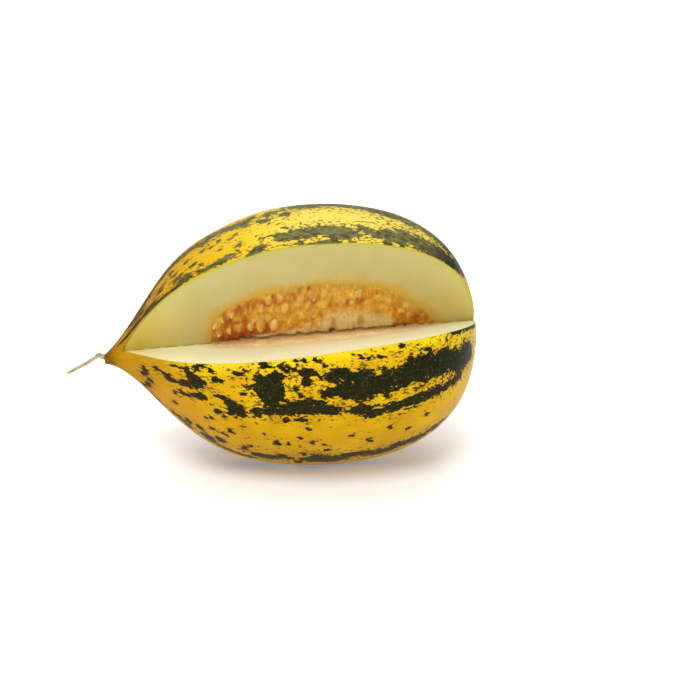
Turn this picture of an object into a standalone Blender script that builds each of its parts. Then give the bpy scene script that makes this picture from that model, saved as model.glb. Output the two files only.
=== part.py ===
"""A ripe teardrop melon with one wedge cut out of its side, lying as it rests.

Pieces: the fruit with its rind and flesh, the seed pulp in its hollow, and the dry stem.
World frame: +X runs from the stem to the blossom end, -Y faces the cut side and +Z is up.
The origin is the middle of the small flat spot on which the melon rests.

Grown frame: every shape is first described along the line from the stem tip to the blossom end.
A station is the distance along that line. A bearing is the angle round it: 0 faces -Y, 90 degrees is up.
"""

import math
import random

import bmesh
import bpy
from mathutils import Matrix, Vector

MM = 0.001

# The fruit
LENGTH = 239 * MM
RADIUS = 85.8 * MM
TIP_RADIUS, TIP_REACH = 3.1 * MM, 1.8 * MM
TIP_SLANT, TIP_FADE = 0.12, 9 * MM
NECK_STATION, NECK_RADIUS = 45.6 * MM, 53.1 * MM
WIDEST_STATION = 135.6 * MM
TIP_LEAVING, NECK_COMING = Vector((12.5, 6.1)) * MM, Vector((13.8, 12.4)) * MM
NECK_LEAVING, WIDEST_COMING = Vector((4.4, 4)) * MM, Vector((58, 0)) * MM
WIDEST_LEAVING, BLOSSOM_COMING = Vector((84.2, 0)) * MM, Vector((0, -40.9)) * MM
OVAL_SHARE, OVAL_BEARING = 0.025, math.radians(45)
NECK_FOLDS, FOLD_SHARE, FOLD_FADE = 8, 0.03, 22 * MM
TIP_DROOP, DROOP_REACH = 10.7 * MM, 57 * MM
BELLY_SAG, SAG_STATION, SAG_WIDTH = 1.3 * MM, 75 * MM, 26 * MM

# How it lies: the blossom end is a little raised, and the rest spot is flattened
TILT = math.radians(1.6)
REST_POINT = Vector((10.2 * MM, 4.5 * MM, -83.9 * MM))

# The cut: two knife faces that meet along a straight line inside, each slightly twisted,
# the upper one curling further up towards the stem
APEX_AT_STEM = Vector((-11.3 * MM, -2.9 * MM))
APEX_AT_BLOSSOM = Vector((1 * MM, 5.3 * MM))
UPPER_BEARING, UPPER_TWIST = math.radians(57.8), math.radians(-5)
LOWER_BEARING, LOWER_TWIST = math.radians(6.4), math.radians(9.8)
STEM_CURL, CURL_REACH = math.radians(24), 28 * MM
CUT_REACH = 130 * MM
CUT_OVERRUN = 12 * MM

# The seed pulp fills a hollow of three lobes, as the fruit grew from three parts
HOLLOW_START, HOLLOW_END = 66.5 * MM, 217 * MM
HOLLOW_SHOULDER, HOLLOW_WAIST = Vector((92, 41.6)) * MM, Vector((172, 45.1)) * MM
START_LEAVING, SHOULDER_COMING = Vector((-1, 27)) * MM, Vector((20, 6.1)) * MM
SHOULDER_LEAVING, WAIST_COMING = Vector((22, 8.9)) * MM, Vector((22, -9.9)) * MM
WAIST_LEAVING, END_COMING = Vector((16, -6.7)) * MM, Vector((15, -25)) * MM
HOLLOW_RADIUS = 51.5 * MM
LOBES, LOBE_SHARE, LOBE_BEARING = 3, 0.2, math.radians(54)
GAP = 0.3 * MM
CREVICE_DEPTH, CREVICE_WIDTH = 3.2 * MM, 5 * MM
SWELL_DEPTH, SWELL_PITCH = 1.1 * MM, 24 * MM
SWELL_WAVE, WAVE_REACH = 2.2, 6 * MM
SECOND_SWELL, SECOND_RATE = 0.6, 1.7
SEED_LENGTH, SEED_WIDTH, SEED_THICKNESS = 11 * MM, 4.8 * MM, 3 * MM
SEED_PITCH, ROW_PITCH, FIRST_ROW, SEED_ROWS = 7.4 * MM, 8.4 * MM, 11 * MM, 5
SEED_PROUD, SEED_MARGIN = 0.1 * MM, 1.2 * MM
SEED_POINT, SEED_BUTT = 0.75, 0.3
SEED_SLIDE, ROW_SLIDE, SEED_TURN, SEED_LEAN = 1.4 * MM, 1.6 * MM, 0.6, 0.22
SEED_DRAW = 7

# The dry stem
STEM_ROUTE = (
    ((-2.85, 0, 2.1), 1.9),
    ((-3.5, 0, 2.25), 1.75),
    ((-5.0, -0.1, 3.4), 1.4),
    ((-7.8, -0.3, 1.6), 1.2),
    ((-13.4, -0.6, -1.8), 1.2),
    ((-19.2, -0.9, -4.6), 1.15),
    ((-26.2, -1.3, -7.9), 1.05),
)

# Mesh fineness
SIDES = 52
BODY_STEPS = (9, 8, 12)
HOLLOW_STEPS = (7, 6, 7)
HOLLOW_SIDES = 28


def clear_scene():
    for thing in list(bpy.data.objects):
        bpy.data.objects.remove(thing, do_unlink=True)


def new_collection(name):
    collection = bpy.data.collections.new(name)
    bpy.context.scene.collection.children.link(collection)
    return collection


def finish_of(name, colour, roughness):
    material = bpy.data.materials.new(name)
    material.use_nodes = True
    shader = material.node_tree.nodes["Principled BSDF"]
    shader.inputs["Base Color"].default_value = (*colour, 1)
    shader.inputs["Roughness"].default_value = roughness
    shader.inputs["Metallic"].default_value = 0
    return material


def object_from(bm, name, collection, material):
    mesh = bpy.data.meshes.new(name)
    bmesh.ops.recalc_face_normals(bm, faces=bm.faces)
    if bm.calc_volume(signed=True) < 0:
        bmesh.ops.reverse_faces(bm, faces=bm.faces)
    bm.to_mesh(mesh)
    bm.free()
    mesh.materials.append(material)
    thing = bpy.data.objects.new(name, mesh)
    collection.objects.link(thing)
    return thing


def evaluated_mesh(thing):
    bpy.context.view_layer.update()
    graph = bpy.context.evaluated_depsgraph_get()
    return bpy.data.meshes.new_from_object(thing.evaluated_get(graph))


def apply_modifiers(thing):
    mesh = evaluated_mesh(thing)
    thing.modifiers.clear()
    thing.data = mesh


def cut_by(thing, cutter):
    cut = thing.modifiers.new("cut " + cutter.name, "BOOLEAN")
    cut.operation = "DIFFERENCE"
    cut.solver = "EXACT"
    cut.material_mode = "TRANSFER"
    cut.object = cutter


def as_cutter(thing):
    thing.display_type = "WIRE"
    thing.hide_render = True


def arc_points(start, start_handle, end_handle, end, steps):
    """Points of one Bezier arc, without its last one."""
    for step in range(steps):
        t = step / steps
        u = 1 - t
        yield start * u**3 + start_handle * 3 * u * u * t + end_handle * 3 * u * t * t + end * t**3


def outline_points(arcs, steps):
    points = []
    for arc, count in zip(arcs, steps):
        points += arc_points(*arc, count)
    points.append(arcs[-1][3])
    return points


def body_outline():
    """Station and radius from the stem tip to the blossom end."""
    tip = Vector((0, TIP_RADIUS))
    neck = Vector((NECK_STATION, NECK_RADIUS))
    widest = Vector((WIDEST_STATION, RADIUS))
    blossom = Vector((LENGTH, 0))
    arcs = (
        (tip, tip + TIP_LEAVING, neck - NECK_COMING, neck),
        (neck, neck + NECK_LEAVING, widest - WIDEST_COMING, widest),
        (widest, widest + WIDEST_LEAVING, blossom - BLOSSOM_COMING, blossom),
    )
    return [Vector((0, 0))] + outline_points(arcs, BODY_STEPS)


def hollow_outline(inset):
    """Station and radius of the seed hollow: blunt at the stem side, tapering at the other."""
    start, end = Vector((HOLLOW_START, 0)), Vector((HOLLOW_END, 0))
    shoulder, waist = HOLLOW_SHOULDER, HOLLOW_WAIST
    arcs = (
        (start, start + START_LEAVING, shoulder - SHOULDER_COMING, shoulder),
        (shoulder, shoulder + SHOULDER_LEAVING, waist - WAIST_COMING, waist),
        (waist, waist + WAIST_LEAVING, end - END_COMING, end),
    )
    middle = (HOLLOW_START + HOLLOW_END) / 2
    shrink = 1 - inset / HOLLOW_RADIUS
    return [
        Vector((middle + (point.x - middle) * shrink, point.y * shrink))
        for point in outline_points(arcs, HOLLOW_STEPS)
    ]


def spine_drop(station):
    """How far the fruit's middle line hangs below the straight line between its ends."""
    droop = TIP_DROOP * max(0, 1 - station / DROOP_REACH) ** 2
    sag = BELLY_SAG * math.exp(-(((station - SAG_STATION) / SAG_WIDTH) ** 2))
    return droop + sag


def unevenness(station, bearing):
    oval = OVAL_SHARE * math.cos(2 * (bearing - OVAL_BEARING))
    folds = FOLD_SHARE * math.exp(-station / FOLD_FADE) * math.cos(NECK_FOLDS * bearing)
    return 1 + oval + folds


def grown_point(station, across, rise):
    """A place in the grown frame, with its origin halfway along the fruit."""
    return Vector((station - LENGTH / 2, across, rise))


def bent_point(station, reach, bearing):
    rise = reach * math.sin(bearing)
    slant = (TIP_REACH + TIP_SLANT * rise) * math.exp(-station / TIP_FADE)
    return grown_point(station - slant, -reach * math.cos(bearing), rise - spine_drop(station))


def skin_point(station, radius, bearing):
    return bent_point(station, radius * unevenness(station, bearing), bearing)


def lobe_share(bearing):
    return (1 + LOBE_SHARE * math.cos(LOBES * (bearing - LOBE_BEARING))) / (1 + LOBE_SHARE)


def hollow_point(station, radius, bearing):
    return bent_point(station, radius * lobe_share(bearing), bearing)


def turned(name, outline, sides, place, collection, material):
    """The outline turned about its axis, with each of its points then put in its grown place."""
    profile = bpy.data.meshes.new(name + " profile")
    points = [(point.y, 0, -point.x) for point in outline]
    edges = [(i, i + 1) for i in range(len(points) - 1)]
    profile.from_pydata(points, edges, [])
    thing = bpy.data.objects.new(name + " profile", profile)
    collection.objects.link(thing)
    screw = thing.modifiers.new("turn", "SCREW")
    screw.steps = screw.render_steps = sides
    screw.use_merge_vertices = True
    screw.merge_threshold = 0.0001
    bm = bmesh.new()
    bm.from_mesh(evaluated_mesh(thing))
    bpy.data.objects.remove(thing, do_unlink=True)
    for vertex in bm.verts:
        x, y, z = vertex.co
        vertex.co = place(-z, math.hypot(x, y), math.atan2(y, x))
    return object_from(bm, name, collection, material)


def apex_point(station):
    share = station / LENGTH
    across, rise = APEX_AT_STEM.lerp(APEX_AT_BLOSSOM, share)
    return grown_point(station, across, rise)


def cut_bearing(station, upper):
    share = station / LENGTH - 0.5
    if upper:
        curl = STEM_CURL * math.exp(-((station / CURL_REACH) ** 2))
        return UPPER_BEARING + UPPER_TWIST * share + curl
    return LOWER_BEARING + LOWER_TWIST * share


def cut_axes(station, upper):
    """Unit directions at a station: along the cut face, and out of the flesh into the notch."""
    bearing = cut_bearing(station, upper)
    along = Vector((0, -math.cos(bearing), math.sin(bearing)))
    outward = Vector((0, math.sin(bearing), math.cos(bearing)))
    return along, -outward if upper else outward


def cut_point(station, reach, upper, proud=0.0):
    along, outward = cut_axes(station, upper)
    return apex_point(station) + along * reach + outward * proud


def loft(name, rings, collection, material):
    """A closed solid through rings of points, one ring for each station."""
    bm = bmesh.new()
    rows = [[bm.verts.new(point) for point in ring] for ring in rings]
    count = len(rows[0])
    for row, following in zip(rows, rows[1:]):
        for i in range(count):
            j = (i + 1) % count
            bm.faces.new((row[i], row[j], following[j], following[i]))
    bm.faces.new(rows[0])
    bm.faces.new(rows[-1])
    bmesh.ops.triangulate(bm, faces=bm.faces)
    return object_from(bm, name, collection, material)


def spread(first, last, count):
    return [first + (last - first) * i / (count - 1) for i in range(count)]


def slice_cutter(collection, material):
    """The wedge that was taken out of the fruit."""
    rings = []
    for station in spread(-CUT_OVERRUN, LENGTH + CUT_OVERRUN, 29):
        rings.append(
            (
                apex_point(station),
                cut_point(station, CUT_REACH, True),
                cut_point(station, CUT_REACH, False),
            )
        )
    return loft("slice_cutter", rings, collection, material)


def pulp_relief(station, reach, upper):
    """Height of the pulp over the knife face: soft swells, and a crevice along the apex."""
    phase = station / SWELL_PITCH * math.tau
    swell = math.sin(phase + SWELL_WAVE * math.sin(reach / WAVE_REACH))
    swell += SECOND_SWELL * math.sin(SECOND_RATE * phase + 1)
    height = SWELL_DEPTH / 2 * swell * min(1, reach / (3 * CREVICE_WIDTH))
    if upper:
        height -= CREVICE_DEPTH * math.exp(-((reach / CREVICE_WIDTH) ** 2))
    return height


def pulp_cutter(collection, material):
    """The same wedge with the pulp's own soft relief on both faces."""
    reaches = [CREVICE_WIDTH / 2 * i for i in range(1, 4)] + spread(12 * MM, 60 * MM, 9)
    rings = []
    for station in spread(HOLLOW_START - CUT_OVERRUN, HOLLOW_END + CUT_OVERRUN, 34):
        upper = [cut_point(station, r, True, pulp_relief(station, r, True)) for r in reaches]
        lower = [cut_point(station, r, False, pulp_relief(station, r, False)) for r in reaches]
        far = [cut_point(station, CUT_REACH, side) for side in (True, False)]
        rings.append([apex_point(station)] + upper + far + lower[::-1])
    return loft("pulp_cutter", rings, collection, material)


def flatten_rest_spot(fruit):
    """Cuts the underside flat where the lying fruit touches the ground."""
    raised = Matrix.Rotation(TILT, 3, "Y")
    down = raised @ Vector((0, 0, -1))
    spot = raised @ REST_POINT
    bm = bmesh.new()
    bm.from_mesh(fruit.data)
    whole = list(bm.verts) + list(bm.edges) + list(bm.faces)
    cut = bmesh.ops.bisect_plane(bm, geom=whole, plane_co=spot, plane_no=down, clear_outer=True)
    rim = [part for part in cut["geom_cut"] if isinstance(part, bmesh.types.BMEdge)]
    bmesh.ops.contextual_create(bm, geom=rim)
    bmesh.ops.recalc_face_normals(bm, faces=bm.faces)
    bm.to_mesh(fruit.data)
    bm.free()


def in_hollow(point, outline):
    """Whether a place in the grown frame is inside the pulp, a little clear of its edge."""
    station = point.x + LENGTH / 2
    rise = point.z + spine_drop(station)
    bearing = math.atan2(rise, -point.y)
    for before, after in zip(outline, outline[1:]):
        if before.x <= station < after.x:
            share = (station - before.x) / (after.x - before.x)
            radius = (before.y + (after.y - before.y) * share) * lobe_share(bearing)
            return math.hypot(point.y, rise) < radius - SEED_MARGIN
    return False


def seed_mesh():
    """A flat drop, pointed at the end where it was held."""
    bm = bmesh.new()
    bmesh.ops.create_uvsphere(bm, u_segments=6, v_segments=4, radius=0.5)
    bmesh.ops.rotate(bm, verts=bm.verts, matrix=Matrix.Rotation(math.pi / 2, 3, "Y"))
    for vertex in bm.verts:
        taper = 1 - SEED_POINT * max(0, -vertex.co.x) - SEED_BUTT * max(0, vertex.co.x)
        vertex.co.x *= SEED_LENGTH
        vertex.co.y *= SEED_WIDTH * taper
        vertex.co.z *= SEED_THICKNESS * taper
    bmesh.ops.triangulate(bm, faces=bm.faces)
    mesh = bpy.data.meshes.new("seed")
    bm.to_mesh(mesh)
    bm.free()
    return mesh


def seed_placement(station, reach, upper, turn, lean):
    """Long axis along the cut face away from the apex, turned and leaned by the draw."""
    along, outward = cut_axes(station, upper)
    side = outward.cross(along)
    frame = Matrix((along, side, outward)).transposed().to_4x4()
    height = pulp_relief(station, reach, upper) + SEED_PROUD
    place = Matrix.Translation(cut_point(station, reach, upper, height))
    return place @ frame @ Matrix.Rotation(turn, 4, "Z") @ Matrix.Rotation(lean, 4, "Y")


def scatter_seeds(collection, material):
    """Staggered rows on both knife faces of the pulp, within the hollow."""
    draw = random.Random(SEED_DRAW)
    mesh = seed_mesh()
    mesh.materials.append(material)
    outline = hollow_outline(GAP)
    tips = [Vector((end * SEED_LENGTH / 2, 0, 0)) for end in (-1, 1)]
    for upper in (True, False):
        for row in range(SEED_ROWS):
            station = HOLLOW_START + SEED_PITCH / 2 * (1 + row % 2)
            while station < HOLLOW_END:
                spot = station + draw.uniform(-SEED_SLIDE, SEED_SLIDE)
                reach = FIRST_ROW + ROW_PITCH * row + draw.uniform(-ROW_SLIDE, ROW_SLIDE)
                turn = draw.uniform(-SEED_TURN, SEED_TURN)
                lean = draw.uniform(-SEED_LEAN, SEED_LEAN)
                place = seed_placement(spot, reach, upper, turn, lean)
                if all(in_hollow(place @ tip, outline) for tip in tips):
                    seed = bpy.data.objects.new("seed", mesh)
                    seed.matrix_world = place
                    collection.objects.link(seed)
                station += SEED_PITCH


def join_seeds(pulp, collection):
    """One union roots every seed in the pulp."""
    union = pulp.modifiers.new("seeds", "BOOLEAN")
    union.operation = "UNION"
    union.operand_type = "COLLECTION"
    union.solver = "MANIFOLD"
    union.collection = collection
    apply_modifiers(pulp)
    for seed in list(collection.objects):
        bpy.data.objects.remove(seed, do_unlink=True)
    bpy.data.collections.remove(collection)


def make_stem(collection, material):
    """The dry stalk on the tip, a bent and tapering tube."""
    curve = bpy.data.curves.new("stem", "CURVE")
    curve.dimensions = "3D"
    curve.bevel_depth = 1 * MM
    curve.bevel_resolution = 2
    curve.resolution_u = 3
    curve.use_fill_caps = True
    spline = curve.splines.new("BEZIER")
    spline.bezier_points.add(len(STEM_ROUTE) - 1)
    base = grown_point(0, 0, -spine_drop(0))
    for point, (offset, thickness) in zip(spline.bezier_points, STEM_ROUTE):
        point.co = base + Vector(offset) * MM
        point.radius = thickness
        point.handle_left_type = point.handle_right_type = "AUTO"
    guide = bpy.data.objects.new("stem guide", curve)
    collection.objects.link(guide)
    bm = bmesh.new()
    bm.from_mesh(evaluated_mesh(guide))
    bpy.data.objects.remove(guide, do_unlink=True)
    bmesh.ops.remove_doubles(bm, verts=bm.verts, dist=0.01 * MM)
    return object_from(bm, "stem", collection, material)


def lay_down(things):
    """Every piece hangs on one empty that tilts the fruit and sets it on its rest spot."""
    lying = bpy.data.objects.new("lying", None)
    bpy.context.scene.collection.objects.link(lying)
    lying.rotation_euler.y = -TILT
    lying.location = -REST_POINT
    for thing in things:
        thing.parent = lying


def main():
    clear_scene()
    melon = new_collection("melon")
    cutters = new_collection("cutters")
    rind = finish_of("rind", (0.78, 0.50, 0.02), 0.35)
    flesh = finish_of("flesh", (0.78, 0.72, 0.45), 0.4)
    pulp = finish_of("pulp", (0.75, 0.36, 0.06), 0.25)
    seed = finish_of("seed", (0.86, 0.62, 0.28), 0.3)
    dry = finish_of("dry stem", (0.47, 0.41, 0.22), 0.8)

    body = turned("melon_body", body_outline(), SIDES, skin_point, melon, rind)
    flatten_rest_spot(body)
    taken_slice = slice_cutter(cutters, flesh)
    hollow = turned("hollow_cutter", hollow_outline(0), HOLLOW_SIDES, hollow_point, cutters, flesh)
    cut_by(body, taken_slice)
    cut_by(body, hollow)

    core = turned("seed_pulp", hollow_outline(GAP), HOLLOW_SIDES, hollow_point, melon, pulp)
    pulp_slice = pulp_cutter(cutters, pulp)
    cut_by(core, pulp_slice)
    apply_modifiers(core)
    loose_seeds = new_collection("loose seeds")
    scatter_seeds(loose_seeds, seed)
    join_seeds(core, loose_seeds)

    stem = make_stem(melon, dry)
    for thing in (body, core, stem):
        thing.data.shade_smooth()
        thing.data.set_sharp_from_angle(angle=math.radians(35))
    for cutter in (taken_slice, hollow, pulp_slice):
        as_cutter(cutter)
    lay_down((body, core, stem, taken_slice, hollow, pulp_slice))


main()
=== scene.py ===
import math
import random

import bmesh
import bpy
import numpy as np
from mathutils import Matrix, Vector, noise
from mathutils.bvhtree import BVHTree
from mathutils.geometry import interpolate_bezier


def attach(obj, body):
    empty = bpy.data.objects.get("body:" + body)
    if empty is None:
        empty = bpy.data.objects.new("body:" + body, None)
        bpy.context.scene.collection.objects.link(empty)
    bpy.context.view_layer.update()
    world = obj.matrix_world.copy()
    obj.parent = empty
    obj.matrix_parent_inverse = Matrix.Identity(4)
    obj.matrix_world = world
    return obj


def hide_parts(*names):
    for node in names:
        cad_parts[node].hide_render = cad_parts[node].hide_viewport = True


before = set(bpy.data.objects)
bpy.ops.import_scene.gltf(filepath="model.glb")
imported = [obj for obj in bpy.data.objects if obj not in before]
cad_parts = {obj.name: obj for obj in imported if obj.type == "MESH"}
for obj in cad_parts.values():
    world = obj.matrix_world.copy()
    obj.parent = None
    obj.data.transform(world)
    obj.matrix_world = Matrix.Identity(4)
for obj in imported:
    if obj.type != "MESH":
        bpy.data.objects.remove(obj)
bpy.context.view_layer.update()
print("frame loaded")

# A ripe teardrop melon with one wedge cut out of it, lying on its side.
# Shapes are made in millimetres and degrees along the fruit as it grew, then settled into the frame.
# A station is the distance from the stem tip. A bearing goes round: 0 is the cut side, 90 the top.
mm = 0.001

fruit = {
    "length": 239,
    "tipArc": ((0, 3.1), (12.5, 9.2), (31.8, 40.7), (45.6, 53.1)),
    "shoulderArc": ((45.6, 53.1), (50, 57.1), (77.6, 85.8), (135.6, 85.8)),
    "roundArc": ((135.6, 85.8), (219.8, 85.8), (239, 40.9), (239, 0)),
    "oval": (0.025, 45),  # share of the radius, bearing of the long way
    "neckFolds": (8, 0.03, 22),  # how many, share of the radius, station where they fade
    "tipReach": 1.8,
    "tipSlant": (0.12, 9),
    "tipDroop": (10.7, 57),
    "bellySag": (1.3, 75, 26),
    "tilt": 1.6,
    "restPoint": (10.2, 4.5, -83.9),
}

cut = {
    "apexAtStem": (-11.3, -2.9),  # across, rise
    "apexAtBlossom": (1, 5.3),
    "upper": (57.8, -5),  # bearing, twist
    "lower": (6.4, 9.8),
    "stemCurl": (24, 28),  # how much further up the upper face turns at the stem, and its reach
    "reach": 130,
    "overrun": 12,
    "knifeSteps": (230, 176),
    "knifeFineReach": 100,
}

hollow = {
    "uneven": ((1.6, 17), (1.1, 5)),  # height, size of the lumps of its wall
    "bluntArc": ((66.5, 0), (65.5, 27), (72, 35.5), (92, 41.6)),
    "sideArc": ((92, 41.6), (114, 50.5), (150, 55), (172, 45.1)),
    "taperArc": ((172, 45.1), (188, 38.4), (202, 25), (217, 0)),
    "lobes": (3, 0.2, 54),  # how many, share of the radius, bearing of the first
    "steps": (40, 40, 40),
    "sides": 160,
}

restPoint = Vector(fruit["restPoint"]) * mm
settled = (
    Matrix.Translation(-restPoint)
    @ Matrix.Rotation(math.radians(-fruit["tilt"]), 4, "Y")
    @ Matrix.Scale(mm, 4)
)
unsettled = settled.inverted()


def arcPoints(arcs, steps):
    points = []
    for arc, count in zip(arcs, steps):
        corners = [Vector((*pair, 0)) for pair in arc]
        points += interpolate_bezier(*corners, count + 1)[:-1]
    return points + [Vector((*arcs[-1][3], 0))]


def fruitOutline(steps):
    arcs = (fruit["tipArc"], fruit["shoulderArc"], fruit["roundArc"])
    return [Vector((0, 0, 0))] + arcPoints(arcs, steps)


def hollowOutline(steps):
    return arcPoints((hollow["bluntArc"], hollow["sideArc"], hollow["taperArc"]), steps)


def spineDrop(station):
    droop, droopReach = fruit["tipDroop"]
    sag, sagStation, sagWidth = fruit["bellySag"]
    near = np.maximum(0, 1 - station / droopReach)
    return droop * near**2 + sag * np.exp(-(((station - sagStation) / sagWidth) ** 2))


def slantAt(station, rise):
    share, fade = fruit["tipSlant"]
    return (fruit["tipReach"] + share * rise) * np.exp(-station / fade)


def bent(station, reach, bearing):
    rise = reach * math.sin(bearing)
    along = station - slantAt(station, rise) - fruit["length"] / 2
    return Vector((along, -reach * math.cos(bearing), rise - spineDrop(station)))


def skinPlace(station, radius, bearing):
    ovalShare, ovalBearing = fruit["oval"]
    folds, foldShare, foldFade = fruit["neckFolds"]
    uneven = ovalShare * math.cos(2 * (bearing - math.radians(ovalBearing)))
    uneven += foldShare * math.exp(-station / foldFade) * math.cos(folds * bearing)
    return bent(station, radius * (1 + uneven), bearing)


def lobeShare(bearing):
    lobes, share, first = hollow["lobes"]
    return (1 + share * np.cos(lobes * (bearing - math.radians(first)))) / (1 + share)


def hollowPlace(station, radius, bearing):
    place = bent(station, radius * lobeShare(bearing), bearing)
    lump = sum(height * noise.noise(place / size) for height, size in hollow["uneven"])
    reach = radius * lobeShare(bearing) + lump * min(1, radius / 20)
    return bent(station, max(0, reach), bearing)


def apexAt(station):
    share = station / fruit["length"]
    ends = zip(cut["apexAtStem"], cut["apexAtBlossom"])
    return tuple(first + (last - first) * share for first, last in ends)


def cutBearing(station, upper):
    bearing, twist = cut["upper"] if upper else cut["lower"]
    curl, curlReach = cut["stemCurl"]
    curled = curl * np.exp(-((station / curlReach) ** 2)) if upper else 0
    return np.radians(bearing + twist * (station / fruit["length"] - 0.5) + curled)


def cutAxes(station, upper):
    bearing = cutBearing(station, upper)
    along = Vector((0, -math.cos(bearing), math.sin(bearing)))
    outward = Vector((0, math.sin(bearing), math.cos(bearing)))
    return along, -outward if upper else outward


def cutPlace(station, reach, upper, proud=0.0):
    across, rise = apexAt(station)
    along, outward = cutAxes(station, upper)
    return Vector((station - fruit["length"] / 2, across, rise)) + along * reach + outward * proud


# Mesh tools


def faceOutwards(bm):
    bmesh.ops.recalc_face_normals(bm, faces=bm.faces)
    if bm.calc_volume(signed=True) < 0:
        bmesh.ops.reverse_faces(bm, faces=bm.faces)


def turned(outline, sides, place):
    # a profile spun about the fruit's line, then every point moved to its grown place
    bm = bmesh.new()
    chain = [bm.verts.new((point.x, 0, point.y)) for point in outline]
    edges = [bm.edges.new(pair) for pair in zip(chain, chain[1:])]
    bmesh.ops.spin(
        bm, geom=chain + edges, cent=(0, 0, 0), axis=(1, 0, 0), angle=math.tau, steps=sides, use_merge=True
    )
    bmesh.ops.remove_doubles(bm, verts=bm.verts, dist=0.001)
    for vert in bm.verts:
        station, y, z = vert.co
        vert.co = place(station, math.hypot(y, z), math.atan2(z, -y))
    faceOutwards(bm)
    return bm


def settle(bm):
    bmesh.ops.transform(bm, matrix=settled, verts=bm.verts)


def pieceFrom(bm, name):
    mesh = bpy.data.meshes.new(name)
    bm.to_mesh(mesh)
    bm.free()
    thing = bpy.data.objects.new(name, mesh)
    bpy.context.scene.collection.objects.link(thing)
    return thing


def carve(thing, cutter):
    carving = thing.modifiers.new("carving", "BOOLEAN")
    carving.operation = "DIFFERENCE"
    carving.solver = "MANIFOLD"
    carving.object = cutter
    bpy.context.view_layer.update()
    graph = bpy.context.evaluated_depsgraph_get()
    mesh = bpy.data.meshes.new_from_object(thing.evaluated_get(graph))
    thing.modifiers.clear()
    thing.data = mesh


def drop(thing):
    bpy.data.objects.remove(thing, do_unlink=True)


def smoothUnder(thing, degrees):
    thing.data.shade_smooth()
    thing.data.set_sharp_from_angle(angle=math.radians(degrees))


def sharpenRim(mesh, distances, limit=0.12, degrees=20):
    # the line where a knife met a wall stays crisp
    bm = bmesh.new()
    bm.from_mesh(mesh)
    for edge in bm.edges:
        onRim = all(distances[vert.index] < limit for vert in edge.verts)
        if onRim and edge.calc_face_angle(0) > math.radians(degrees):
            edge.smooth = False
    bm.to_mesh(mesh)
    bm.free()


def paint(mesh, name, values):
    isVector = values.ndim == 2
    layer = mesh.attributes.new(name, "FLOAT_VECTOR" if isVector else "FLOAT", "POINT")
    layer.data.foreach_set("vector" if isVector else "value", values.astype(np.float32).ravel())


def paintAll(mesh, **layers):
    for name, values in layers.items():
        paint(mesh, name, values)


def grownPoints(mesh):
    flat = np.empty(len(mesh.vertices) * 3, np.float32)
    mesh.vertices.foreach_get("co", flat)
    matrix = np.array(unsettled)
    return flat.reshape(-1, 3) @ matrix[:3, :3].T + matrix[:3, 3]


def stationsAndBearings(points):
    station = points[:, 0] + fruit["length"] / 2
    for step in range(4):  # the tip's slant is undone by steps
        rise = points[:, 2] + spineDrop(station)
        station = points[:, 0] + fruit["length"] / 2 + slantAt(station, rise)
    return station, np.arctan2(rise, -points[:, 1])


def softPatch(along, across, patches, spread=1.0):
    # how much of a point lies in any of the patches: a half at each patch's edge
    outside = np.ones(along.shape)
    for place, turn, halfLength, halfWidth in patches:
        away = ((along - place) / (halfLength * spread)) ** 2
        away += (((across - turn + 180) % 360 - 180) / (halfWidth * spread)) ** 2
        outside *= 1 - np.exp(-math.log(2) * away)
    return 1 - outside


def smoothStep(low, high, values):
    share = np.clip((values - low) / (high - low), 0, 1)
    return share * share * (3 - 2 * share)


# Shader tools: a wire is one socket, and sums on wires add their Math nodes


class Wire:
    def __init__(self, finish, socket):
        self.finish = finish
        self.socket = socket

    def joined(self, operation, first, second):
        return self.finish.add("ShaderNodeMath", {"operation": operation}, {0: first, 1: second})

    def __add__(self, other):
        return self.joined("ADD", self, other)

    __radd__ = __add__

    def __sub__(self, other):
        return self.joined("SUBTRACT", self, other)

    def __rsub__(self, other):
        return self.joined("SUBTRACT", other, self)

    def __mul__(self, other):
        return self.joined("MULTIPLY", self, other)

    __rmul__ = __mul__

    def __truediv__(self, other):
        return self.joined("DIVIDE", self, other)


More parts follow.
